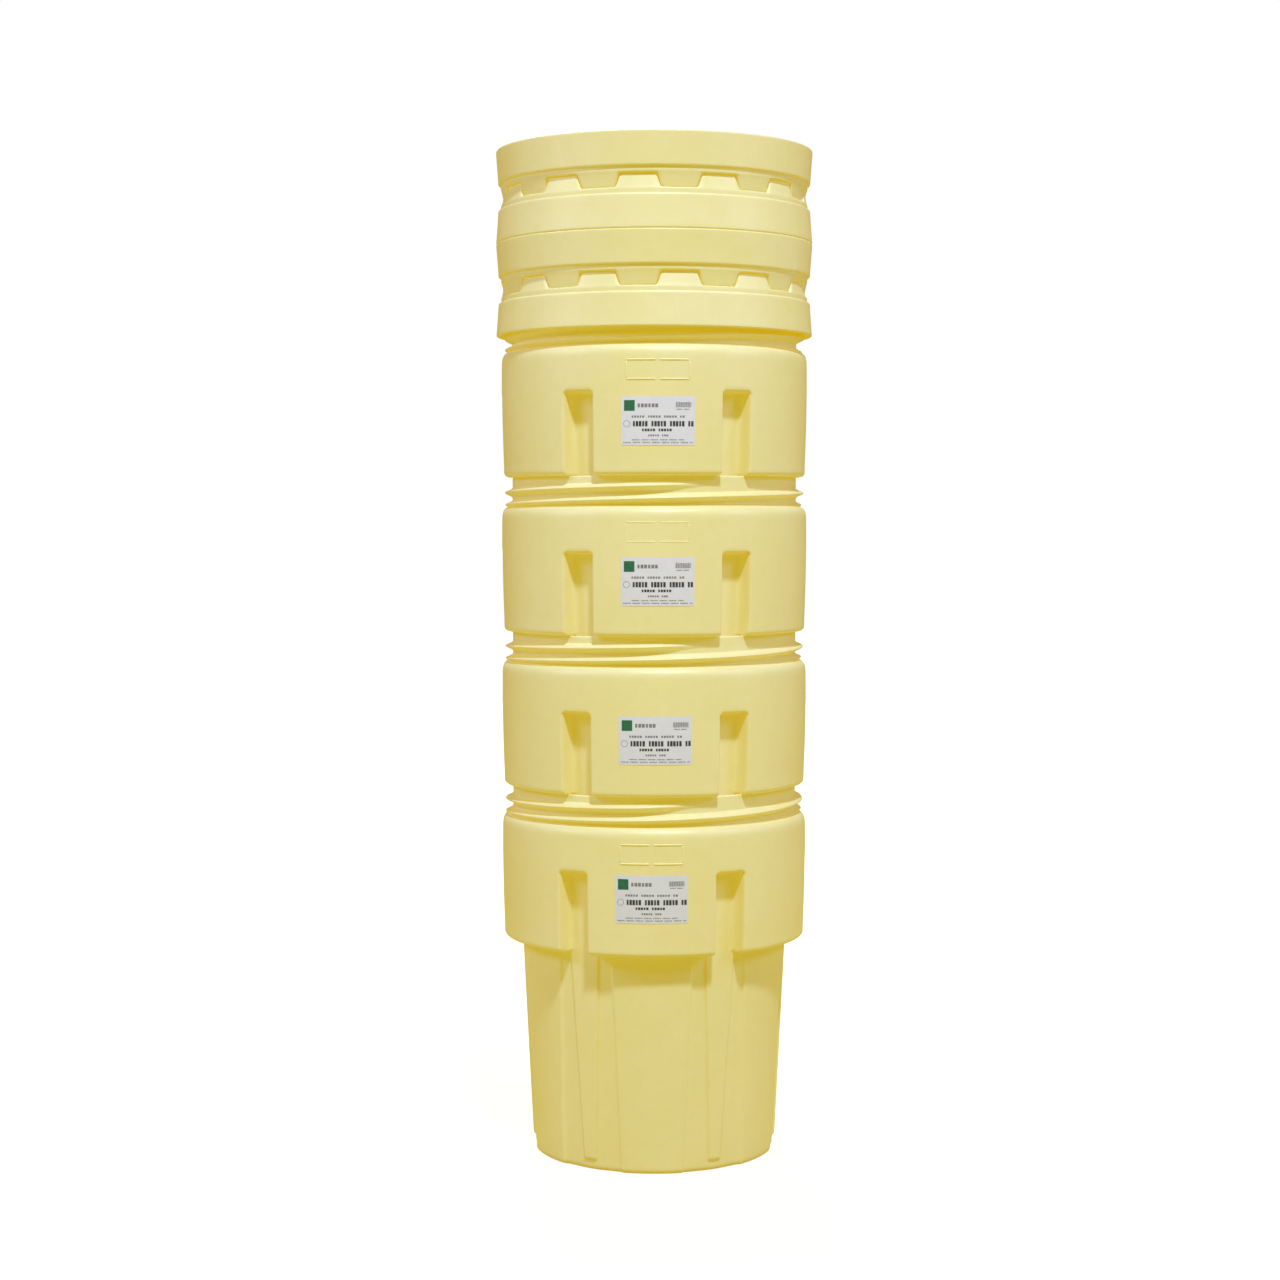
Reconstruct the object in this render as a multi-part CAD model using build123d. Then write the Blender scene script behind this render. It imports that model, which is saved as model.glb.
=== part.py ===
from build123d import *
import os
from math import cos, pi, radians, sin

# A nest of four overpack salvage drums with their four screw lids stacked on top, in millimetres.
# The origin is the centre of the bottom drum's base, +Z is up and the labels face -Y.

wall = 7.0  # moulded wall of a drum

# Drum body
drum_height = 947.0
nest_pitch = 392.0  # one drum's base above the next, set by its collar resting on the rim below
foot_radius = 304.5
foot_height = 27.0
body_taper = 0.0502  # growth of the body's radius per millimetre of height
body_radius_low = 311.4  # radius that the tapered body would have at its base
valley_depth = 6.0  # valleys pressed in between the ribs and the panels

# Drum collar, the wide belt that carries the drum below its mouth
collar_bottom = 555.0
collar_top = 873.0
collar_widest = 390.6
collar_widest_height = 780.0
collar_barrel_radius = 4568.0  # radius of the collar's slight barrel shape, seen from the side
slot_count = 6
slot_width = 74.0
slot_top = 757.0

# Drum neck and its two-start thread
neck_radius = 363.5
thread_crest = 383.5
thread_lead = 62.0
thread_starts = 2
thread_rise = 52.0
thread_top = 927.0
thread_top_angle = 23.0

# Lid, with its open rim at z = 0 and its teeth up
lid_height = 135.0
lid_band_radius = 398.0
lid_rim_radius = 403.5
lid_bore = 386.0
lid_land = 75.0  # underside that carries the gasket
tooth_count = 12
tooth_floor = 98.7
tooth_base_angle = 15.8
tooth_tip_angle = 13.0
lid_thread_crest = 366.5
lid_thread_arc = 115.0
gasket_thickness = 9.5  # clears the drum's rim by 0.5 when the lid is screwed right down

# Stack
drum_turns = (-0.9, 0.5, 1.3, 1.4)
stack_count = 4
lid_rim_on_drum = 913.0  # the top drum's own lid stands on its neck, not yet screwed down
lid_tooth_angle = 9.2

label_width = 180.0
label_height = 118.0
label_thickness = 0.4
label_centres = (700.0, 696.0, 690.0, 686.0)
plate_centre = 810.0  # raised blank frame above the label
plate_width = 158.0
plate_height = 51.0
plate_bar = 4.0
plate_reliefs = (1.6, 0.0, 0.6, 1.6)  # the same mould mark comes out fainter on some drums, or not at all


def body_radius(height, offset=0.0):
    return body_radius_low + body_taper * height + offset


def collar_radius(height, offset=0.0):
    return collar_widest - (height - collar_widest_height) ** 2 / (2 * collar_barrel_radius) + offset


def turned(points, rounds):
    # A closed outline of radius and height, its corners rounded, turned about Z.
    outline = FilletPolyline(*points, radius=rounds, close=True)
    return revolve(Plane.XZ * make_face(outline), Axis.Z)


def turned_drum(inset):
    # The drum without slots, valleys or thread: inset 0 is the outside, a wall's thickness is the cavity.
    foot = foot_radius - inset
    shoulder = collar_top - inset
    under = collar_bottom + inset
    neck = neck_radius - inset
    top = drum_height + (inset > 0) * wall
    low = inset
    points = [
        (0, low),
        (foot, low),
        (foot + 1, foot_height + inset / 2),
        (body_radius(foot_height + 8, -inset), foot_height + 8 + inset / 2),
        (body_radius(under, -inset), under),
        (collar_radius(under, -inset), under),
        (collar_radius(650, -inset), 650),
        (collar_widest - inset, collar_widest_height),
        (collar_radius(shoulder, -inset), shoulder - 3),
        (neck, shoulder + 2),
        (neck, top),
        (0, top),
    ]
    rim = 0 if inset else 3
    rounds = [0, 14 - inset / 2, 3, 4, 0, 12 - inset / 2, 900, 900, 22 - inset / 2, 5, rim, 0]
    return turned(points, rounds)


def body_cone(offset):
    # The tapered body carried on up through the collar, which is the back wall of every slot.
    low, high = -40.0, slot_top + 60
    points = [(0, low), (body_radius(low, offset), low), (body_radius(high, offset), high), (0, high)]
    return revolve(Plane.XZ * make_face(Polyline(*points, close=True)), Axis.Z)


def slot_cutter(inset):
    # What the slots take out of the collar. The cavity's cutter is a wall's thickness larger all round.
    top = slot_top + inset
    low = collar_bottom - 40.0
    width = slot_width + 2 * inset
    depth = 140.0
    block = Box(width, depth, top - low, align=(Align.CENTER, Align.MAX, Align.MIN))
    corners = block.edges().filter_by(Axis.Y).group_by(Axis.Z)[-1]
    block = fillet(corners, 9 + inset)
    block = Pos(0, -(body_radius(collar_bottom) - 30), low) * block
    block -= body_cone(-inset)
    step = 360 / slot_count
    return [Rot(0, 0, step * (index + 0.5)) * block for index in range(slot_count)]


def valley_cutter(inset):
    # A valley runs up the body beside each rib, wide at the foot and narrow under the collar.
    low, high = foot_height - 30, collar_bottom + inset
    spread = 1.3 if inset else 0.0
    sections = []
    for height, inner, outer in ((low, 14.0, 27.6), (high, 17.3, 23.4)):
        floor = body_radius(height, -valley_depth - inset) + 1.0
        rim = floor + valley_depth + 30
        near, far = inner - spread, outer + spread
        lean = 0.6
        corners = [(floor, near), (floor, far), (rim, far + lean), (rim, near - lean)]
        points = [(r * sin(radians(a)), -r * cos(radians(a)), height) for r, a in corners]
        sections.append(make_face(Polyline(*points, close=True)))
    right = loft(sections, ruled=True)
    left = mirror(right, Plane.YZ)
    step = 360 / slot_count
    return [Rot(0, 0, step * index) * side for index in range(slot_count) for side in (right, left)]


def ridge(root, crest, base, tip, lead, rise, start_height, start_angle):
    # One right-handed thread ridge: a trapezoid carried along a helix from its low end upwards.
    path = Helix(pitch=lead, height=rise, radius=root)
    outward = crest - root
    bury = 2.5 if outward > 0 else -2.5
    points = [(root - bury, -base / 2), (crest, -tip / 2), (crest, tip / 2), (root - bury, base / 2)]
    section = Plane.XZ * make_face(Polyline(*points, close=True))
    swept = sweep(section, path=path, is_frenet=True)
    return Pos(0, 0, start_height) * Rot(0, 0, start_angle - 90) * swept


def drum_threads():
    low = thread_top - thread_rise
    low_angle = thread_top_angle - 360 * thread_rise / thread_lead
    step = 360 / thread_starts
    return [
        ridge(neck_radius, thread_crest, 20.0, 5.0, thread_lead, thread_rise, low, low_angle + step * start)
        for start in range(thread_starts)
    ]


def revolved_band(back, front):
    # A band between two shallow arcs, each through three points of radius and height.
    outline = [
        ThreePointArc(*back),
        Line(back[2], front[2]),
        ThreePointArc(*front[::-1]),
        Line(front[0], back[0]),
    ]
    return revolve(Plane.XZ * make_face(outline), Axis.Z)


def plate_frame(relief):
    # Two blank half frames, standing a little proud of the collar.
    low, high = plate_centre - plate_height, plate_centre + plate_height
    back = [(collar_radius(z, -wall / 2), z) for z in (low, plate_centre, high)]
    front = [(r + wall / 2 + relief, z) for r, z in back]
    shell = revolved_band(back, front)
    half = plate_width / 2
    gap = 6.0
    bars = []
    for side in (-1, 1):
        middle = side * (half + gap / 2) / 2
        for end in (-1, 1):
            height = plate_centre + end * (plate_height - plate_bar) / 2
            bars.append(Pos(middle, -collar_widest, height) * Box(half - gap / 2, 30, plate_bar))
        upright = Box(plate_bar, 30, plate_height)
        bars.append(Pos(side * (half - plate_bar / 2), -collar_widest, plate_centre) * upright)
    return [bar & shell for bar in bars]


def make_drum():
    outside = turned_drum(0)
    outside -= slot_cutter(0)
    outside -= valley_cutter(0)
    inside = turned_drum(wall)
    inside -= slot_cutter(wall)
    inside -= valley_cutter(wall)
    return outside + drum_threads() - inside


def make_label(centre):
    low, high = centre - label_height / 2, centre + label_height / 2
    back = [(collar_radius(z, 0.02), z) for z in (low, centre, high)]
    front = [(r + label_thickness, z) for r, z in back]
    block = Pos(0, -collar_widest, centre) * Box(label_width, 120, 2 * label_height)
    return revolved_band(back, front) & block


def tooth_gaps(inset):
    # The spaces between the teeth, wider at the top than at the floor.
    step = 360 / tooth_count
    floor = tooth_floor - inset
    top = lid_height + 20
    spread = degrees_for(inset)
    slope = (tooth_base_angle - tooth_tip_angle) / 2 / (lid_height - tooth_floor)
    sections = []
    for height in (floor, top):
        half = step / 2 - tooth_base_angle / 2 + slope * (height - tooth_floor) + spread
        corners = [(320.0, -half), (420.0, -half), (420.0, half), (320.0, half)]
        points = [(r * sin(radians(a)), -r * cos(radians(a)), height) for r, a in corners]
        sections.append(make_face(Polyline(*points, close=True)))
    gap = loft(sections, ruled=True)
    return [Rot(0, 0, step * (index + 0.5)) * gap for index in range(tooth_count)]


def degrees_for(length):
    return length / 385 * 180 / pi


def turned_lid():
    points = [
        (0, 86),
        (322, 86),
        (350, 92),
        (354, lid_height),
        (385, lid_height),
        (391, tooth_floor),
        (391, 92),
        (389, 83.5),
        (lid_band_radius - 0.5, 83),
        (lid_band_radius + 0.6, 28),
        (lid_rim_radius, 16),
        (lid_rim_radius, 0),
        (lid_bore + 8, 0),
        (lid_bore, 10),
        (lid_bore, lid_land),
        (340, lid_land),
        (330, 79),
        (0, 79),
    ]
    rounds = [0, 8, 8, 5, 5, 2, 2, 2, 7, 20, 10, 7, 3, 5, 5, 4, 4, 0]
    return turned(points, rounds)


def lid_hollow():
    # The closed air space inside the double-walled tooth ring.
    low, high = lid_land + wall, lid_height - wall
    points = [(361, low), (361, high), (379, high), (383, tooth_floor), (383, low)]
    ring = revolve(Plane.XZ * make_face(Polyline(*points, close=True)), Axis.Z)
    return ring - tooth_gaps(wall)


def make_lid():
    lid = turned_lid()
    lid -= tooth_gaps(0)
    lid -= lid_hollow()
    rise = thread_lead * lid_thread_arc / 360
    # Screwed down by half a turn, each lid ridge lies midway below one ridge of the drum's thread.
    half_turn = 180
    top_angle = thread_top_angle + drum_turns[-1] + half_turn
    low_angle = top_angle - lid_thread_arc
    seated_top = thread_top - thread_lead / thread_starts / 2 + thread_lead / 2 - lid_rim_on_drum
    step = 360 / thread_starts
    for start in range(thread_starts):
        angle = low_angle + step * start - lid_tooth_angle
        lid += ridge(lid_bore, lid_thread_crest, 16.0, 5.0, thread_lead, rise, seated_top - rise, angle)
    return lid


def make_gasket():
    points = [
        (352, lid_land - gasket_thickness),
        (368, lid_land - gasket_thickness),
        (368, lid_land),
        (352, lid_land),
    ]
    return turned(points, [3, 3, 0, 0])


def write(shape, name):
    solids = shape.solids()
    export_step(Compound(children=list(solids)) if len(solids) > 1 else solids[0], f"parts/{name}.step")
    print(name, len(solids), round(sum(solid.volume for solid in solids)))


os.makedirs("parts", exist_ok=True)

drum = make_drum()
for number in range(stack_count):
    place = Pos(0, 0, nest_pitch * number) * Rot(0, 0, drum_turns[number])
    relief = plate_reliefs[number]
    marked = drum + plate_frame(relief) if relief else drum
    write(place * marked, f"drum_{number + 1}")
    write(place * make_label(label_centres[number]), f"label_{number + 1}")

lid = make_lid()
gasket = make_gasket()
pair_height = lid_height + tooth_floor
lowest_rim = nest_pitch * (stack_count - 1) + lid_rim_on_drum
step_turn = 360 / tooth_count / 2
upright = Rot(0, 0, lid_tooth_angle)
inverted = Rot(0, 0, lid_tooth_angle - step_turn) * Rot(180, 0, 0)
places = (
    Pos(0, 0, lowest_rim) * upright,
    Pos(0, 0, lowest_rim + pair_height) * inverted,
    Pos(0, 0, lowest_rim + pair_height) * Rot(0, 0, -step_turn) * upright,
    Pos(0, 0, lowest_rim + 2 * pair_height) * Rot(0, 0, step_turn) * inverted,
)
for number, place in enumerate(places, start=1):
    write(place * lid, f"lid_{number}")
    write(place * gasket, f"gasket_{number}")
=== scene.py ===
import bpy
import bmesh
from math import cos, degrees, radians, sin
from mathutils import Matrix, Vector


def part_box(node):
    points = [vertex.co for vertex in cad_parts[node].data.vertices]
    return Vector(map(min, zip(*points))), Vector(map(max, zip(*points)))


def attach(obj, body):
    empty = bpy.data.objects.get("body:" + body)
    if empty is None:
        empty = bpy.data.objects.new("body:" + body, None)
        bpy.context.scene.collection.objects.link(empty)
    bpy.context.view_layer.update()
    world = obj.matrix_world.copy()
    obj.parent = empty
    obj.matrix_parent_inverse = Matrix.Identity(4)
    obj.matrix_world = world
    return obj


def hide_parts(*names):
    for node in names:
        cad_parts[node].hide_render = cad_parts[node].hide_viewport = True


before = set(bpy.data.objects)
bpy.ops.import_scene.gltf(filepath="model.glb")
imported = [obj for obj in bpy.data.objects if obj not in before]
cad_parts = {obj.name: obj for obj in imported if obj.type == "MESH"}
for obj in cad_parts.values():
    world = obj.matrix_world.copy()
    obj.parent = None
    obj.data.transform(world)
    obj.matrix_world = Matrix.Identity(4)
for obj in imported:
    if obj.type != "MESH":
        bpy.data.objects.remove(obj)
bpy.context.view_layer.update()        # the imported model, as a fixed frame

print("frame loaded")


def smoothStep(value):
    t = max(0.0, min(1.0, value))
    return t * t * (3 - 2 * t)


def mix(a, b, t):
    return a + (b - a) * t


def polar(radius, angle, height):
    # angle 0 is the front, -Y, and grows towards +X
    return Vector((radius * sin(radians(angle)), -radius * cos(radians(angle)), height))


def arcPoints(centre, radius, fromAngle, toAngle, count):
    # points of radius and height on a round corner, angles in degrees from straight out
    made = []
    for index in range(count):
        angle = radians(mix(fromAngle, toAngle, index / (count - 1)))
        made.append((centre[0] + radius * cos(angle), centre[1] + radius * sin(angle)))
    return made


def vertsOf(items):
    return [item for item in items if isinstance(item, bmesh.types.BMVert)]


def addObject(name, data):
    made = bpy.data.objects.new(name, data)
    bpy.context.scene.collection.objects.link(made)
    return made


def meshFrom(bm, name):
    mesh = bpy.data.meshes.new(name)
    bm.to_mesh(mesh)
    bm.free()
    return mesh


stackCount = 4  # drums, and as many labels, lids and gaskets
weldDistance = 0.00002


def spunGrid(rowCount, columns, repeats, place):
    # a line of points is spun column by column, each point is set in its place,
    # and the sector is repeated
    bm = bmesh.new()
    rowOf = bm.verts.layers.int.new("row")
    columnOf = bm.verts.layers.int.new("column")
    line = [bm.verts.new((1.0, 0.0, row)) for row in range(rowCount)]
    for row, vert in enumerate(line):
        vert[rowOf] = row
        vert[columnOf] = columns[0]
    strip = line + [bm.edges.new(pair) for pair in zip(line, line[1:])]
    for column in columns[1:]:
        strip = bmesh.ops.spin(bm, geom=strip, cent=(0, 0, 0), axis=(0, 0, 1),
                               angle=radians(1), steps=1)["geom_last"]
        for vert in vertsOf(strip):
            vert[columnOf] = column
    for vert in bm.verts:
        vert.co = polar(*place(vert[rowOf], vert[columnOf]))
    sector = bm.verts[:] + bm.edges[:] + bm.faces[:]
    for turn in range(1, repeats):
        copied = vertsOf(bmesh.ops.duplicate(bm, geom=sector)["geom"])
        bmesh.ops.rotate(bm, verts=copied, cent=(0, 0, 0),
                         matrix=Matrix.Rotation(radians(360 / repeats * turn), 3, "Z"))
    bmesh.ops.remove_doubles(bm, verts=bm.verts, dist=weldDistance)
    bmesh.ops.recalc_face_normals(bm, faces=bm.faces)
    return bm


def addThread(bm, thread, startAngle):
    # a closed outline is spun up a helix a step at a time,
    # and sinks into the wall towards both ends
    wallRadius = thread["wallRadius"]
    outline = [(wallRadius + depth, height) for depth, height in thread["outline"]]
    steps = thread["steps"]
    sweep = thread["sweep"]
    ring = [bm.verts.new(polar(r, startAngle, thread["start"] + h)) for r, h in outline]
    strip = ring + [bm.edges.new(pair) for pair in zip(ring, ring[1:] + ring[:1])]
    made = set(ring)
    rings = [ring]
    lift = Vector((0, 0, thread["lead"] * sweep / 360 / steps))
    for step in range(steps):
        strip = bmesh.ops.spin(bm, geom=strip, cent=(0, 0, 0), axis=(0, 0, 1), dvec=lift,
                               angle=radians(sweep / steps), steps=1)["geom_last"]
        rings.append(vertsOf(strip))
        made.update(rings[-1])
    faces = [bm.faces.new(rings[0]), bm.faces.new(rings[-1])]
    for step, verts in enumerate(rings):
        turned = sweep * step / steps
        fade = smoothStep(turned / thread["fadeIn"])
        fade *= smoothStep((sweep - turned) / thread["fadeOut"])
        for vert in verts:
            radius = vert.co.xy.length
            sunk = wallRadius + (radius - wallRadius) * fade - thread["sunk"] * (1 - fade)
            vert.co.x *= sunk / radius
            vert.co.y *= sunk / radius
    for vert in made:
        faces.extend(vert.link_faces)
    bmesh.ops.recalc_face_normals(bm, faces=list(set(faces)))


def showPiece(bm, name, body, node, materials, subdivisions=0, smooth=True):
    for face in bm.faces:
        face.smooth = smooth
    piece = addObject(name, meshFrom(bm, name))
    for material in materials:
        piece.data.materials.append(material)
    if subdivisions:
        softening = piece.modifiers.new("softening", "SUBSURF")
        softening.levels = subdivisions
        softening.render_levels = subdivisions
    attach(piece, body)
    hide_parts(node)


def link(tree, source, output, target, socket):
    tree.links.new(source.outputs[output], target.inputs[socket])


def addNode(tree, kind, values=None):
    node = tree.nodes.new(f"ShaderNode{kind}")
    for name, value in (values or {}).items():
        node.inputs[name].default_value = value
    return node


def newMaterial(name):
    material = bpy.data.materials.new(name)
    material.use_nodes = True
    tree = material.node_tree
    return material, tree, tree.nodes["Principled BSDF"]


# camera and light first, then materials, then the pieces

view = {
    "place": (0.0, -6.3034, 1.6355),
    "tiltDown": 2.93,
    "turnLeft": 0.33,
    "lens": 68.82,
    "sensor": 36,
}

lights = {
    "key": {"azimuth": 10, "elevation": 56, "distance": 12.0,
            "size": 1.1, "power": 1130, "tint": (1, 1, 1)},
    "front": {"azimuth": -6, "elevation": 6, "distance": 7.5,
              "size": 4.5, "power": 26, "tint": (1, 0.92, 0.15)},
    "left": {"azimuth": -68, "elevation": 30, "distance": 9.0,
             "size": 3.5, "power": 285, "tint": (0.66, 0.70, 1)},
    "right": {"azimuth": 68, "elevation": 30, "distance": 9.0,
              "size": 3.5, "power": 225, "tint": (0.66, 0.70, 1)},
    "back": {"azimuth": 186, "elevation": 45, "distance": 9.0,
             "size": 2.5, "power": 460, "tint": (1, 1, 0.98)},
}

studio = {
    "worldTint": (1.0, 0.87, 0.0),
    "worldStrength": 0.19,
    "backdropStrength": 1.0,
    "floorTint": (0.42, 0.39, 0.08),
    "floorRoughness": 0.9,
    "floorGlow": 0.80,
    "floorGlowTint": (0.99, 1.0, 1.12),
    "fadeFrom": 1.0,
    "fadeTo": 4.0,
    "floorSize": 60.0,
    "aim": (0.0, 0.0, 1.25),
}


def setCamera():
    camera = addObject("camera", bpy.data.cameras.new("camera"))
    camera.data.lens = view["lens"]
    camera.data.sensor_width = view["sensor"]
    camera.location = view["place"]
    camera.rotation_euler = (radians(90 - view["tiltDown"]), 0, radians(view["turnLeft"]))
    bpy.context.scene.camera = camera


def setLights():
    aim = Vector(studio["aim"])
    for name, look in lights.items():
        data = bpy.data.lights.new(name, "AREA")
        data.shape = "DISK"
        data.size = look["size"]
        data.energy = look["power"]
        data.color = look["tint"]
        lamp = addObject(name, data)
        reach = look["distance"] * cos(radians(look["elevation"]))
        rise = look["distance"] * sin(radians(look["elevation"]))
        lamp.location = aim + polar(reach, look["azimuth"], rise)
        lamp.rotation_euler = (aim - lamp.location).to_track_quat("-Z", "Y").to_euler()


def setWorld():
    # the light that the room gives, and the paper that is seen behind the stack
    world = bpy.data.worlds.new("studioWorld")
    world.use_nodes = True
    tree = world.node_tree
    room = tree.nodes["Background"]
    room.inputs["Color"].default_value = (*studio["worldTint"], 1)
    room.inputs["Strength"].default_value = studio["worldStrength"]
    paper = addNode(tree, "Background",
                    {"Color": (1, 1, 1, 1), "Strength": studio["backdropStrength"]})
    rays = addNode(tree, "LightPath")
    blend = addNode(tree, "MixShader")
    link(tree, rays, "Is Camera Ray", blend, 0)
    link(tree, room, 0, blend, 1)
    link(tree, paper, 0, blend, 2)
    link(tree, blend, 0, tree.nodes["World Output"], "Surface")
    bpy.context.scene.world = world
    bpy.context.scene.view_settings.view_transform = "Standard"


def setFloor():
    # the paper fades into the white backdrop with distance,
    # and throws no extra light on the stack
    bm = bmesh.new()
    bmesh.ops.create_grid(bm, x_segments=1, y_segments=1, size=studio["floorSize"] / 2)
    floor = addObject("studioFloor", meshFrom(bm, "studioFloor"))
    material, tree, shader = newMaterial("floorPaper")
    shader.inputs["Base Color"].default_value = (*studio["floorTint"], 1)
    shader.inputs["Roughness"].default_value = studio["floorRoughness"]
    shader.inputs["Emission Color"].default_value = (*studio["floorGlowTint"], 1)
    coordinates = addNode(tree, "TexCoord")
    reach = addNode(tree, "VectorMath")
    reach.operation = "LENGTH"
    fade = addNode(tree, "MapRange", {
        "From Min": studio["fadeFrom"], "From Max": studio["fadeTo"],
        "To Min": studio["floorGlow"], "To Max": 1.0})
    rays = addNode(tree, "LightPath")
    glow = addNode(tree, "Math")
    glow.operation = "MULTIPLY"
    link(tree, coordinates, "Object", reach, 0)
    link(tree, reach, "Value", fade, "Value")
    link(tree, rays, "Is Camera Ray", glow, 0)
    link(tree, fade, "Result", glow, 1)
    link(tree, glow, 0, shader, "Emission Strength")
    floor.data.materials.append(material)


setCamera()
setLights()
setWorld()
setFloor()
print("camera, lights and floor set")


def addNoise(tree, coordinates, scale, detail, roughness, distortion=0.0):
    noise = addNode(tree, "TexNoise", {"Scale": scale, "Detail": detail,
                                       "Roughness": roughness, "Distortion": distortion})
    output = "Vector" if "Vector" in coordinates.outputs else "Object"
    link(tree, coordinates, output, noise, "Vector")
    return noise


def addRamp(tree, source, output, span, lowColor, highColor):
    ramp = addNode(tree, "ValToRGB")
    for element, place, color in zip(ramp.color_ramp.elements, span, (lowColor, highColor)):
        element.position = place
        element.color = (*color, 1)
    link(tree, source, output, ramp, "Fac")
    return ramp


def addBump(tree, source, output, strength, distance):
    bump = addNode(tree, "Bump", {"Strength": strength, "Distance": distance})
    link(tree, source, output, bump, "Height")
    return bump


def grey(value):
    return (value,) * 3


def addMixColor(tree, blend, factor, first, second):
    node = tree.nodes.new("ShaderNodeMix")
    node.data_type = "RGBA"
    node.blend_type = blend
    for socket, value in (("Factor", factor), ("A", first), ("B", second)):
        slots = [item for item in node.inputs if item.name == socket and item.enabled]
        if isinstance(value, bpy.types.NodeSocket):
            tree.links.new(value, slots[0])
        elif isinstance(value, tuple):
            slots[0].default_value = (*value, 1)
        else:
            slots[0].default_value = value
    return [item for item in node.outputs if item.enabled][0]


plasticLook = {
    "paleTone": (0.49, 0.60, 0.49),
    "deepTone": (0.47, 0.575, 0.41),
    "mottleTone": (0.955, 0.95, 0.93),
    "scuffTone": (0.57, 0.66, 0.56),
    # painted glow: emission colour and strength that light the plastic from within; the tones above
    # are set low because this glow adds the yellow
    "paintedGlowTone": (1.0, 0.52, 0.0),
    "glow": 0.335,
    "roughness": (0.36, 0.50),
    "specular": 0.5,
    "cloudScale": 3.2,
    "mottleScale": 45.0,
    "scuffScale": 7.0,
    "cornerWear": 0.55,
    "scuffWear": 0.30,
    "dulling": 0.4,
    "waveScale": 13.0,
    "waveBump": 0.22,
    "waveDepth": 0.004,
    "grainScale": 260.0,
    "grainBump": 0.10,
    "grainDepth": 0.0006,
}


def makePlastic(name, shift):
    look = plasticLook
    material, tree, shader = newMaterial(name)
    coordinates = addNode(tree, "TexCoord")
    mapping = addNode(tree, "Mapping", {"Location": shift})
    link(tree, coordinates, "Object", mapping, "Vector")
    # moulded plastic is never one tone: wide clouds, then a finer mottle
    clouds = addNoise(tree, mapping, look["cloudScale"], 4.0, 0.6)
    tones = addRamp(tree, clouds, "Fac", (0.30, 0.70), look["deepTone"], look["paleTone"])
    mottle = addNoise(tree, mapping, look["mottleScale"], 5.0, 0.65)
    mottling = addRamp(tree, mottle, "Fac", (0.25, 0.75), look["mottleTone"], grey(1))
    mottled = addMixColor(tree, "MULTIPLY", 1.0, tones.outputs["Color"], mottling.outputs["Color"])
    # rubbed corners and handling scuffs are paler and duller
    geometry = addNode(tree, "NewGeometry")
    corners = addRamp(tree, geometry, "Pointiness", (0.515, 0.60),
                      grey(0), grey(look["cornerWear"]))
    scuffNoise = addNoise(tree, mapping, look["scuffScale"], 9.0, 0.72, 1.4)
    scuffs = addRamp(tree, scuffNoise, "Fac", (0.60, 0.74),
                     grey(0), grey(look["scuffWear"]))
    worn = addMixColor(tree, "ADD", 1.0, corners.outputs["Color"], scuffs.outputs["Color"])
    final = addMixColor(tree, "MIX", worn, mottled, look["scuffTone"])
    tree.links.new(final, shader.inputs["Base Color"])
    gloss = addRamp(tree, mottle, "Fac", (0.3, 0.7), *map(grey, look["roughness"]))
    duller = addMixColor(tree, "ADD", look["dulling"],
                         gloss.outputs["Color"], scuffs.outputs["Color"])
    tree.links.new(duller, shader.inputs["Roughness"])
    # slow waves from the mould and a fine orange peel
    waves = addNoise(tree, mapping, look["waveScale"], 2.0, 0.4)
    grain = addNoise(tree, mapping, look["grainScale"], 3.0, 0.5)
    waveBump = addBump(tree, waves, "Fac", look["waveBump"], look["waveDepth"])
    grainBump = addBump(tree, grain, "Fac", look["grainBump"], look["grainDepth"])
    link(tree, waveBump, "Normal", grainBump, "Normal")
    link(tree, grainBump, "Normal", shader, "Normal")
    shader.inputs["Specular IOR Level"].default_value = look["specular"]
    # painted glow: a constant amber emission stands in for light through the thin yellow wall and
    # fills every shadow, so the plastic glows though it is no lamp
    shader.inputs["Emission Color"].default_value = (*look["paintedGlowTone"], 1)
    shader.inputs["Emission Strength"].default_value = look["glow"]
    material.cycles.emission_sampling = "NONE"
    return material


foamLook = {
    "light": (0.055, 0.055, 0.052),
    "dark": (0.022, 0.022, 0.021),
    "cellScale": 900.0,
    "cellBump": 0.5,
    "cellDepth": 0.0005,
    "roughness": 0.85,
}


def makeFoam(name, look):
    material, tree, shader = newMaterial(name)
    coordinates = addNode(tree, "TexCoord")
    cells = addNode(tree, "TexVoronoi", {"Scale": look["cellScale"]})
    link(tree, coordinates, "Object", cells, "Vector")
    tone = addRamp(tree, cells, "Distance", (0.1, 0.8), look["dark"], look["light"])
    link(tree, tone, "Color", shader, "Base Color")
    bump = addBump(tree, cells, "Distance", look["cellBump"], look["cellDepth"])
    link(tree, bump, "Normal", shader, "Normal")
    shader.inputs["Roughness"].default_value = look["roughness"]
    return material


# light tone, dark tone and roughness of the label stock and its inks, in slot order
printLooks = {
    "labelPaper": ((0.74, 0.76, 1.0), (0.70, 0.72, 0.97), 0.35),
    "darkInk": ((0.05, 0.05, 0.07), (0.03, 0.03, 0.045), 0.4),
    "greyInk": ((0.25, 0.25, 0.30), (0.19, 0.19, 0.24), 0.4),
    "greenInk": ((0.02, 0.16, 0.10), (0.015, 0.12, 0.075), 0.4),
}
printTexture = {"blotchScale": 60.0, "glossSpread": 0.12, "bump": 0.08, "depth": 0.0004}


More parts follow.
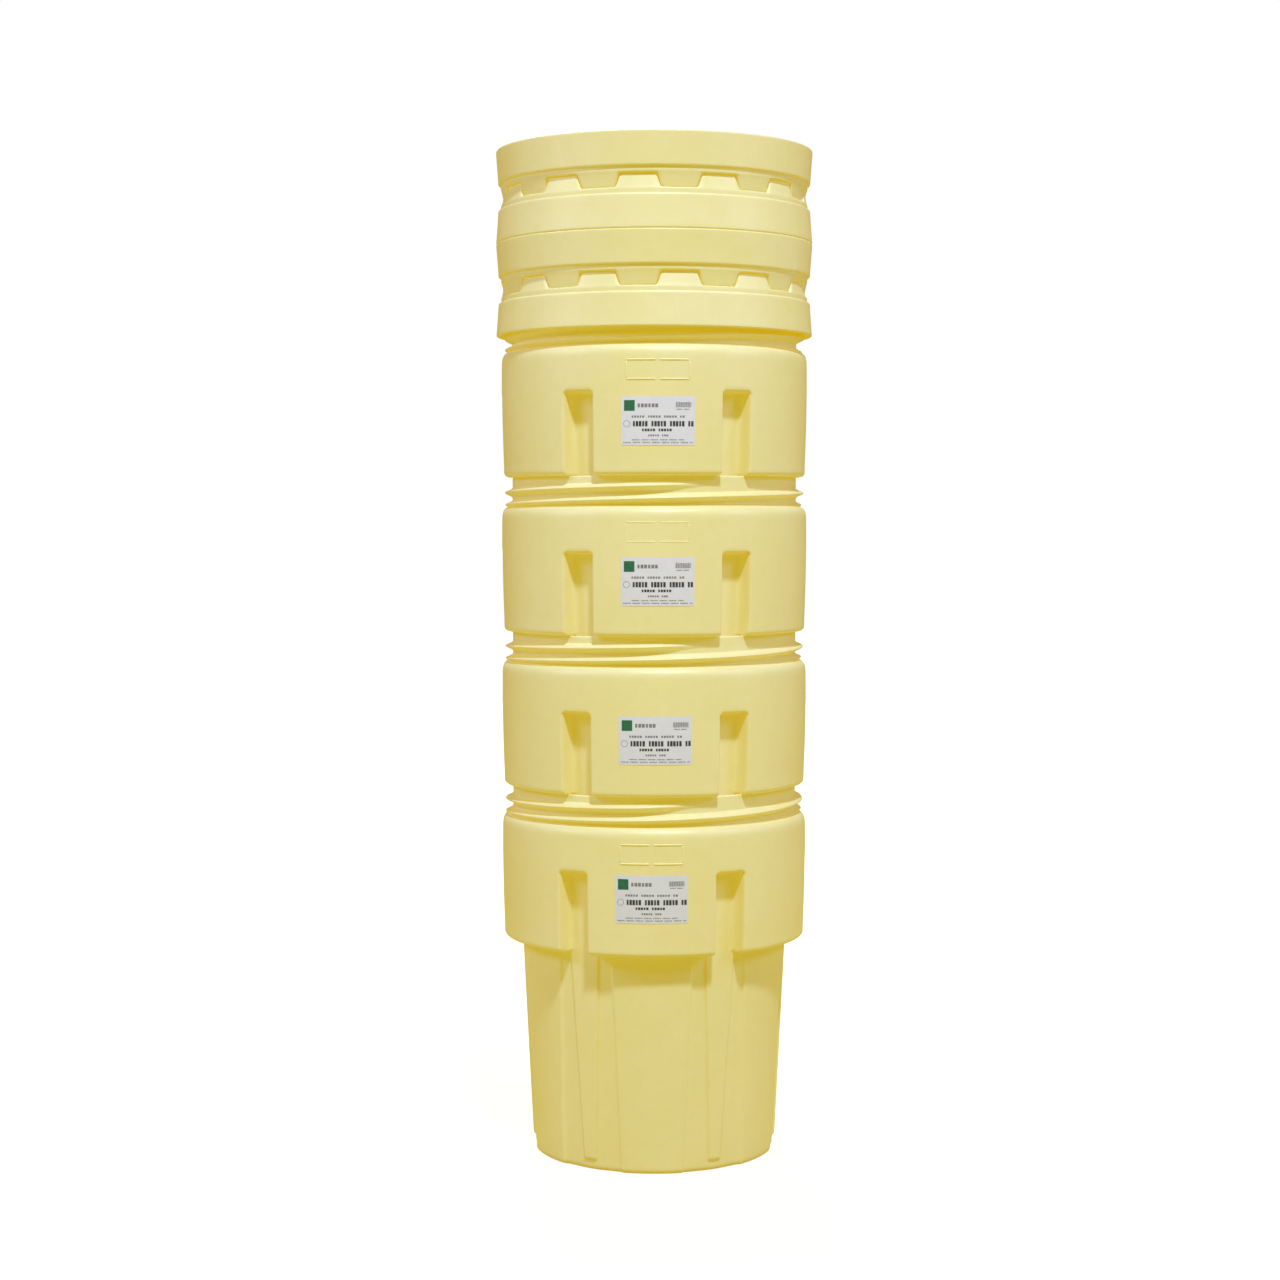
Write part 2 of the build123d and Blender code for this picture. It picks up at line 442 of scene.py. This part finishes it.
def makePrinted(name, light, dark, roughness):
    # a faint unevenness of tone and gloss
    look = printTexture
    material, tree, shader = newMaterial(name)
    coordinates = addNode(tree, "TexCoord")
    blotches = addNoise(tree, coordinates, look["blotchScale"], 4.0, 0.6)
    tone = addRamp(tree, blotches, "Fac", (0.3, 0.7), dark, light)
    link(tree, tone, "Color", shader, "Base Color")
    gloss = addRamp(tree, blotches, "Fac", (0.3, 0.7),
                    grey(roughness), grey(roughness + look["glossSpread"]))
    link(tree, gloss, "Color", shader, "Roughness")
    bump = addBump(tree, blotches, "Fac", look["bump"], look["depth"])
    link(tree, bump, "Normal", shader, "Normal")
    return material


printed = [makePrinted(name, *look) for name, look in printLooks.items()]
foam = makeFoam("gasketFoam", foamLook)
print("materials made")


# one drum, in its own place with its base at height 0

drum = {
    "wall": 0.007,
    "ribEnd": 0.0245,
    "ribEndLength": 0.008,
    "slots": 6,
    "bodyRadius": 0.3114,
    "taper": 0.0502,
    "valleyDepth": 0.0058,
    "collarBottom": 0.555,
    "collarWidest": 0.3906,
    "collarWidestHeight": 0.78,
    "collarBarrel": 4.568,
    "undersideTop": 0.57,
    "undersideFrom": 0.335,
    "undersideSpread": 0.04,
    "neckRadius": 0.3635,
    "turns": (-0.9, 0.5, 1.3, 1.4),
    "marks": (1.0, 0.0, 0.35, 1.0),
}

drumThread = {
    "wallRadius": drum["neckRadius"],
    "lead": 0.062,
    "start": 0.8745,
    "sweep": 302.0,
    "steps": 100,
    "topAngle": 23.0,
    "fadeIn": 14.0,
    "fadeOut": 34.0,
    "sunk": 0.001,
    "outline": [(-0.004, -0.0125), (0.0002, -0.0125), (0.0022, -0.0102), (0.0075, -0.0070),
                (0.0150, -0.0040), (0.0188, -0.0022), (0.0198, 0.0002), (0.0188, 0.0024),
                (0.0150, 0.0040), (0.0075, 0.0068), (0.0022, 0.0100), (0.0002, 0.0125),
                (-0.004, 0.0125)],
}


def bodyRadius(height):
    return drum["bodyRadius"] + drum["taper"] * height


def collarRadius(height):
    fall = (height - drum["collarWidestHeight"]) ** 2 / (2 * drum["collarBarrel"])
    return drum["collarWidest"] - fall


# half of a sixth of the drum, from the middle of a panel to the middle of a slot:
# angle on the collar, on the body under it, at the foot, and how far the body stands out there
drumColumns = [
    (0.0, 0.0, 0.0, 1),
    (5.0, 5.6, 4.6, 1),
    (10.0, 10.8, 8.8, 1),
    (14.2, 15.0, 12.0, 1),
    (16.2, 16.6, 13.4, 1),
    (17.4, 17.2, 13.9, 1),
    (18.8, 17.9, 14.7, 0),
    (20.0, 18.6, 15.5, 0),
    (21.3, 21.9, 26.1, 0),
    (22.3, 22.7, 27.0, 0),
    (23.3, 23.3, 27.6, 1),
    (24.5, 23.9, 28.0, 1),
    (25.3, 24.4, 28.4, 1),
    (26.6, 25.6, 29.0, 1),
    (30.0, 30.0, 30.0, 1),
]
undersideColumn = 4
ribColumn = 10
lipColumn = 11
slotAngles = {11: 22.6, 12: 23.95, 13: 25.4, 14: 30.0}


def drumRows():
    # zone, radius, height, and where that row runs inside a slot: radius beyond the body, height
    wall = drum["wall"]
    low = drum["collarBottom"]
    rows = [("base", 0.0, 0.0), ("base", 0.14, 0.0), ("base", 0.26, 0.0)]
    rows += [("foot", r, z) for r, z in arcPoints((-0.013, 0.013), 0.013, -90, 0, 5)]
    rows += [("body", 0, z) for z in (0.019, 0.0235, 0.0265, 0.0300, 0.0335, 0.040, 0.055)]
    rows += [("body", 0, z) for z in (0.12, 0.20, 0.28, 0.36, 0.44, 0.51, 0.540)]
    under = [(bodyRadius(low) + 0.0012, low - 0.0022), (bodyRadius(low) + 0.009, low)]
    under += [(0.3620, low)]
    under += [(r, z) for r, z in arcPoints((0.3745, low + 0.012), 0.012, -90, -6, 5)]
    rows += [("collar", r, z, 0, low - 0.004 + index * 0.003)
             for index, (r, z) in enumerate(under)]
    rows += [("collar", collarRadius(z), z, 0, z) for z in (0.579, 0.61, 0.65, 0.69, 0.72, 0.741)]
    depth = collarRadius(0.757) - bodyRadius(0.757)
    rows += [
        ("collar", collarRadius(0.748), 0.748, 0.0005, 0.7515),
        ("collar", collarRadius(0.752), 0.752, 0.004, 0.7560),
        ("collar", collarRadius(0.756), 0.756, depth - 0.010, 0.7575),
        ("top", collarRadius(0.760), 0.760),
        ("top", collarRadius(0.769), 0.769),
    ]
    rows += [("top", collarRadius(z), z) for z in (0.80, 0.83, 0.848)]
    rows += [("top", r, z) for r, z in arcPoints((0.3672, 0.8515), 0.0220, 10, 84, 6)]
    rows += [("top", r, z) for r, z in arcPoints((0.3695, 0.8805), 0.0060, 262, 188, 4)]
    rows += [("top", drum["neckRadius"], z) for z in (0.888, 0.905, 0.922, 0.938)]
    rows += [("top", r, z) for r, z in arcPoints((0.3600, 0.9435), 0.0035, 0, 180, 6)]
    inner = drum["neckRadius"] - wall
    rows += [("inside", inner, z) for z in (0.93, 0.905, 0.885)]
    rows += [("inside", r, z) for r, z in arcPoints((0.3680, 0.8500), 0.0150, 80, 10, 4)]
    rows += [("inside", collarRadius(z) - wall, z) for z in (0.82, 0.79, 0.772)]
    rows += [
        ("pocket", collarRadius(0.767) - wall, 0.767, 0.030, 0.766),
        ("pocket", collarRadius(0.762) - wall, 0.762, 0.0, 0.764),
    ]
    rows += [("pocket", collarRadius(z) - wall, z, 0, z) for z in (0.75, 0.70, 0.64, 0.59, 0.572)]
    rows += [
        ("pocket", 0.3720, low + wall, 0, low + wall + 0.004),
        ("pocket", 0.350, low + wall, 0, low + wall),
    ]
    rows += [("lining", 0, z) for z in (low + 0.005, 0.54, 0.44, 0.34, 0.24, 0.14, 0.05, 0.022)]
    rows += [("base", r, z) for r, z in arcPoints((0.2915, 0.014), 0.007, 0, -90, 4)]
    rows += [("base", 0.20, wall), ("base", 0.0, wall)]
    return rows


def placeOnDrum(row, column):
    zone = drumLines[row]
    side = -1 if column < 0 else 1
    column = abs(column)
    collarAngle, topAngle, footAngle, raised = drumColumns[column]
    low = drum["collarBottom"]
    kind, radius, height = zone[:3]
    if kind in ("foot", "body", "lining"):
        angle = mix(footAngle, topAngle, height / low)
        proud = raised
        if column >= ribColumn and kind != "lining":
            proud = smoothStep((height - drum["ribEnd"]) / drum["ribEndLength"])
        radius += bodyRadius(height) - drum["valleyDepth"] * (1 - proud)
        if kind == "lining":
            radius -= drum["wall"]
    elif kind == "base":
        angle = footAngle
    else:
        angle = collarAngle
        inSlot = column > lipColumn if kind == "collar" else column >= lipColumn
        if kind == "collar" and height < drum["undersideTop"] and column >= undersideColumn:
            out = (radius - drum["undersideFrom"]) / drum["undersideSpread"]
            angle = mix(topAngle, collarAngle, smoothStep(out))
        if kind in ("collar", "pocket") and inSlot:
            beyond, height = zone[3:]
            radius = bodyRadius(height) + beyond
            if kind == "pocket":
                radius -= drum["wall"]
            angle = slotAngles[column]
    return radius, side * angle, height


markLook = {
    "centre": 0.810,
    "width": 0.158,
    "height": 0.051,
    "bar": 0.0042,
    "gap": 0.007,
    "proud": 0.0019,
    "sunk": 0.004,
    "segment": 0.009,
}


def wrapOnCollar(verts, centreHeight):
    # flat work, x across and y up, is laid on the collar; z stays its height above the surface
    for vert in verts:
        height = centreHeight + vert.co.y
        radius = collarRadius(height)
        vert.co = polar(radius + vert.co.z, degrees(vert.co.x / radius), height)


def addMark(bm, strength):
    # two blank half frames raised on the collar
    look = markLook
    halfWidth = (look["width"] - look["gap"]) / 2
    strips = []
    for side in (-1, 1):
        middle = side * (halfWidth + look["gap"]) / 2
        for end in (-1, 1):
            level = end * (look["height"] - look["bar"]) / 2
            strips.append((middle, level, halfWidth, look["bar"]))
        edge = side * (look["width"] - look["bar"]) / 2
        strips.append((edge, 0, look["bar"], look["height"] - 2 * look["bar"]))
    for x, y, width, height in strips:
        segments = 1 + int(max(width, height) / look["segment"])
        across = segments if width > height else 1
        made = bmesh.ops.create_grid(bm, x_segments=across, y_segments=1 + segments - across,
                                     size=0.5)["verts"]
        bmesh.ops.scale(bm, verts=made, vec=(width, height, 1))
        bmesh.ops.translate(bm, verts=made, vec=(x, y, -look["sunk"]))
        sheet = list({face for vert in made for face in vert.link_faces})
        raised = vertsOf(bmesh.ops.extrude_face_region(bm, geom=sheet)["geom"])
        rise = look["sunk"] + look["proud"] * strength
        bmesh.ops.translate(bm, verts=raised, vec=(0, 0, rise))
        touched = {face for vert in made + raised for face in vert.link_faces}
        bmesh.ops.recalc_face_normals(bm, faces=list(touched))
        wrapOnCollar(made + raised, look["centre"])


def makeDrum(number, material):
    bm = drumShape.copy()
    strength = drum["marks"][number]
    if strength:
        addMark(bm, strength)
    name = f"drum_{number + 1}"
    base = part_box(name)[0].z
    turn = Matrix.Rotation(radians(drum["turns"][number]), 4, "Z")
    place = Matrix.Translation((0, 0, base)) @ turn
    bmesh.ops.transform(bm, matrix=place, verts=bm.verts)
    showPiece(bm, f"{name}_shell", name, name, [material], subdivisions=1)
    return place


drumLines = drumRows()
drumSector = range(1 - len(drumColumns), len(drumColumns))
drumShape = spunGrid(len(drumLines), drumSector, drum["slots"], placeOnDrum)
for start in range(2):
    addThread(drumShape, drumThread, drumThread["topAngle"] - drumThread["sweep"] + 180 * start)
print("drum shape made,", len(drumShape.faces), "faces")

drumPlaces = []
for number in range(stackCount):
    plastic = makePlastic(f"drumPlastic{number + 1}", (number * 3.7, number * 1.9, 0))
    drumPlaces.append(makeDrum(number, plastic))
print("drums placed")


# labels: generic blocks stand for the print

label = {
    "width": 0.180,
    "height": 0.118,
    "thickness": 0.0003,
    "centres": (0.700, 0.696, 0.690, 0.686),
    "inkLift": 0.00012,
    "columns": 36,
    "rows": 16,
    "segment": 0.006,
}

labelPrint = {
    # each row of blocks: left end, middle height, total width, block height, number of blocks, ink
    "lines": [
        (-0.051, 0.0366, 0.052, 0.0090, 6, 2),
        (-0.065, 0.0098, 0.130, 0.0052, 20, 2),
        (-0.062, -0.0074, 0.149, 0.0128, 20, 1),
        (-0.040, -0.0224, 0.080, 0.0062, 12, 1),
        (-0.025, -0.0356, 0.050, 0.0046, 9, 2),
        (-0.064, -0.0460, 0.128, 0.0026, 34, 2),
        (-0.085, -0.0525, 0.170, 0.0026, 44, 2),
        (0.045, 0.0275, 0.034, 0.0026, 12, 2),
    ],
    "shares": (0.62, 0.80, 0.80),
    "wordLength": 6,
    "wordsFrom": 9,
    # left or middle, height, size, and the ring's line or the number of bars
    "badge": (-0.0695, 0.0366, 0.026),
    "ring": (-0.0760, -0.0074, 0.0082, 0.0011),
    "barcode": (0.0425, 0.0385, 0.038, 0.0125, 26),
    "barShares": (0.35, 0.75, 0.55, 0.9),
}


def addBlock(bm, x, y, width, height, ink):
    lift = label["thickness"] + label["inkLift"]
    segments = max(1, int(width / label["segment"]))
    made = bmesh.ops.create_grid(bm, x_segments=segments, y_segments=1, size=0.5)["verts"]
    bmesh.ops.scale(bm, verts=made, vec=(width, height, 1))
    bmesh.ops.translate(bm, verts=made, vec=(x, y, lift))
    for face in {face for vert in made for face in vert.link_faces}:
        face.material_index = ink


def makeLabel(number):
    bm = bmesh.new()
    bmesh.ops.create_grid(bm, x_segments=label["columns"], y_segments=label["rows"], size=0.5)
    bmesh.ops.scale(bm, verts=bm.verts, vec=(label["width"], label["height"], 1))
    bmesh.ops.translate(bm, verts=bm.verts, vec=(0, 0, label["thickness"]))
    bmesh.ops.solidify(bm, geom=bm.faces[:], thickness=label["thickness"])
    bmesh.ops.recalc_face_normals(bm, faces=bm.faces)
    for left, middle, width, height, count, ink in labelPrint["lines"]:
        pitch = width / count
        for index in range(count):
            if count >= labelPrint["wordsFrom"] and (index + 1) % labelPrint["wordLength"] == 0:
                continue  # a gap between words
            share = labelPrint["shares"][index % 3]
            addBlock(bm, left + pitch * (index + 0.5), middle, pitch * share, height, ink)
    x, y, size = labelPrint["badge"]
    addBlock(bm, x, y, size, size, 3)
    left, middle, width, height, count = labelPrint["barcode"]
    pitch = width / count
    for index in range(count):
        share = labelPrint["barShares"][(index * index + index) % 4]
        addBlock(bm, left + pitch * (index + 0.5), middle, pitch * share, height, 1)
    x, y, radius, line = labelPrint["ring"]
    outer = bmesh.ops.create_circle(bm, segments=28, radius=radius, cap_ends=True)["verts"]
    bmesh.ops.translate(bm, verts=outer, vec=(x, y, label["thickness"] + label["inkLift"]))
    disc = outer[0].link_faces[0]
    disc.material_index = 2
    bmesh.ops.inset_individual(bm, faces=[disc], thickness=line)
    disc.material_index = 0
    wrapOnCollar(bm.verts, label["centres"][number])
    bmesh.ops.transform(bm, matrix=drumPlaces[number], verts=bm.verts)
    name = f"label_{number + 1}"
    showPiece(bm, f"{name}_sheet", f"drum_{number + 1}", name,
              printed, smooth=False)


for number in range(stackCount):
    makeLabel(number)
print("labels placed")


# one lid, rim at height 0 and teeth up

lid = {
    "height": 0.135,
    "floor": 0.0987,
    "baseHalf": 7.75,
    "tipHalf": 6.65,
    "teeth": 12,
    "bore": 0.386,
    "toothAngle": 9.2,
}

lidThread = {
    "wallRadius": lid["bore"],
    "lead": 0.062,
    "sweep": 115.0,
    "steps": 46,
    "start": 0.0097,
    "fadeIn": 16.0,
    "fadeOut": 16.0,
    "sunk": -0.001,
    "outline": [(0.004, 0.0085), (-0.0003, 0.0085), (-0.0030, 0.0066), (-0.0100, 0.0046),
                (-0.0165, 0.0030), (-0.0190, 0.0012), (-0.0190, -0.0012), (-0.0165, -0.0030),
                (-0.0100, -0.0046), (-0.0030, -0.0066), (-0.0003, -0.0085), (0.004, -0.0085)],
    "seatAngle": drumThread["topAngle"] + drum["turns"][-1] + 180,
}

# half of a twelfth, from the middle of a tooth to the middle of a gap
lidColumns = (0.0, 3.2, 5.6, None, 7.98, 9.2, 12.0, 15.0)
toothEdge = 3


def lidRows():
    # radius and height on a tooth, then the radius and height in the gap where the two differ
    top = lid["height"]
    floor = lid["floor"]
    rows = [(r, 0.086) for r in (0.0, 0.15, 0.30, 0.322)]
    rows += [(0.334, 0.0878), (0.345, 0.0915), (0.3500, 0.0945)]
    gap = [(0.3530, 0.0972), (0.3570, floor), (0.3600, floor), (0.3630, floor)]
    tooth = [(0.3525, 0.1000), (0.3535, 0.1120), (0.3543, 0.1260), (0.3556, 0.1318)]
    gap += [(0.3665, floor), (0.3700, floor), (0.3740, floor), (0.3775, floor)]
    tooth += [(0.3590, 0.1346), (0.3630, top), (0.3770, top), (0.3800, 0.1345)]
    gap += [(0.3808, floor), (0.3835, floor), (0.3860, floor), (0.3885, 0.0986)]
    tooth += [(0.3824, 0.1322), (0.3836, 0.1290), (0.3862, 0.1150), (0.3889, 0.1025)]
    gap += [(0.3902, 0.0978)]
    tooth += [(0.3901, 0.0988)]
    rows += [(*onTooth, *inGap) for onTooth, inGap in zip(tooth, gap)]
    rows += [(0.3910, 0.0955), (0.3911, 0.0900), (0.3908, 0.0862), (0.3909, 0.0843), (0.3922, 0.0836)]
    rows += arcPoints((0.3944, 0.0800), 0.0036, 84, 4, 4)
    rows += [(0.3984, 0.073), (0.3998, 0.052), (0.4012, 0.033), (0.4026, 0.0150), (0.4032, 0.0080)]
    rows += arcPoints((0.3998, 0.0037), 0.0037, 20, -90, 5)
    rows += [(0.3980, 0.0), (0.3955, 0.0), (0.3930, 0.0008), (0.3895, 0.0040), (0.3868, 0.0085)]
    rows += [(lid["bore"], z) for z in (0.020, 0.040, 0.060)]
    rows += arcPoints((0.3805, 0.0695), 0.0055, 0, 90, 4)
    rows += [(0.370, 0.075), (0.345, 0.075), (0.3385, 0.0755), (0.3330, 0.0782)]
    rows += [(0.3260, 0.079), (0.15, 0.079), (0.0, 0.079)]
    return rows


def placeOnLid(row, column):
    side = -1 if column < 0 else 1
    column = abs(column)
    line = lidLines[row]
    radius, height = line[:2]
    if len(line) == 4 and column > toothEdge:
        radius, height = line[2:]
    angle = lidColumns[column]
    if column == toothEdge:
        lean = (height - lid["floor"]) / (lid["height"] - lid["floor"])
        angle = mix(lid["baseHalf"], lid["tipHalf"], max(0.0, min(1.0, lean)))
    return radius, side * angle, height


lidLines = lidRows()
lidSector = range(1 - len(lidColumns), len(lidColumns))
lidShape = spunGrid(len(lidLines), lidSector, lid["teeth"], placeOnLid)
for start in range(2):
    firstAngle = lidThread["seatAngle"] - lidThread["sweep"] + 180 * start
    addThread(lidShape, lidThread, firstAngle - lid["toothAngle"])
print("lid shape made,", len(lidShape.faces), "faces")


gasket = {
    "inner": 0.352,
    "outer": 0.368,
    "low": 0.0655,
    "high": 0.075,
    "corner": 0.003,
    "steps": 120,
}


def makeGasketShape():
    bm = bmesh.new()
    corner = gasket["corner"]
    level = gasket["low"] + corner
    outline = [(gasket["inner"], gasket["high"]), (gasket["outer"], gasket["high"])]
    outline += arcPoints((gasket["outer"] - corner, level), corner, 0, -90, 5)
    outline += arcPoints((gasket["inner"] + corner, level), corner, -90, -180, 5)
    ring = [bm.verts.new(polar(radius, 0, height)) for radius, height in outline]
    edges = [bm.edges.new(pair) for pair in zip(ring, ring[1:] + ring[:1])]
    bmesh.ops.spin(bm, geom=ring + edges, cent=(0, 0, 0), axis=(0, 0, 1),
                   angle=radians(360), steps=gasket["steps"], use_merge=True)
    bmesh.ops.recalc_face_normals(bm, faces=bm.faces)
    return bm


gasketShape = makeGasketShape()


def lidPlace(number):
    low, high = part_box(f"lid_{number + 1}")
    inverted = number in (1, 3)
    rim = high.z if inverted else low.z
    halfStep = 180 / lid["teeth"]
    turn = lid["toothAngle"] - (halfStep if number in (1, 2) else 0)
    flip = Matrix.Rotation(radians(180), 4, "X") if inverted else Matrix.Identity(4)
    return Matrix.Translation((0, 0, rim)) @ Matrix.Rotation(radians(turn), 4, "Z") @ flip


for number in range(stackCount):
    name = f"lid_{number + 1}"
    gasketName = f"gasket_{number + 1}"
    plastic = makePlastic(f"lidPlastic{number + 1}", (number * 2.3 + 11, 5.0, number * 1.7))
    shell = lidShape.copy()
    bmesh.ops.transform(shell, matrix=lidPlace(number), verts=shell.verts)
    showPiece(shell, f"{name}_shell", name, name, [plastic], subdivisions=1)
    seal = gasketShape.copy()
    bmesh.ops.transform(seal, matrix=lidPlace(number), verts=seal.verts)
    body = gasketName if number == 0 else name
    showPiece(seal, f"{gasketName}_ring", body, gasketName, [foam])
print("lids and gaskets placed")
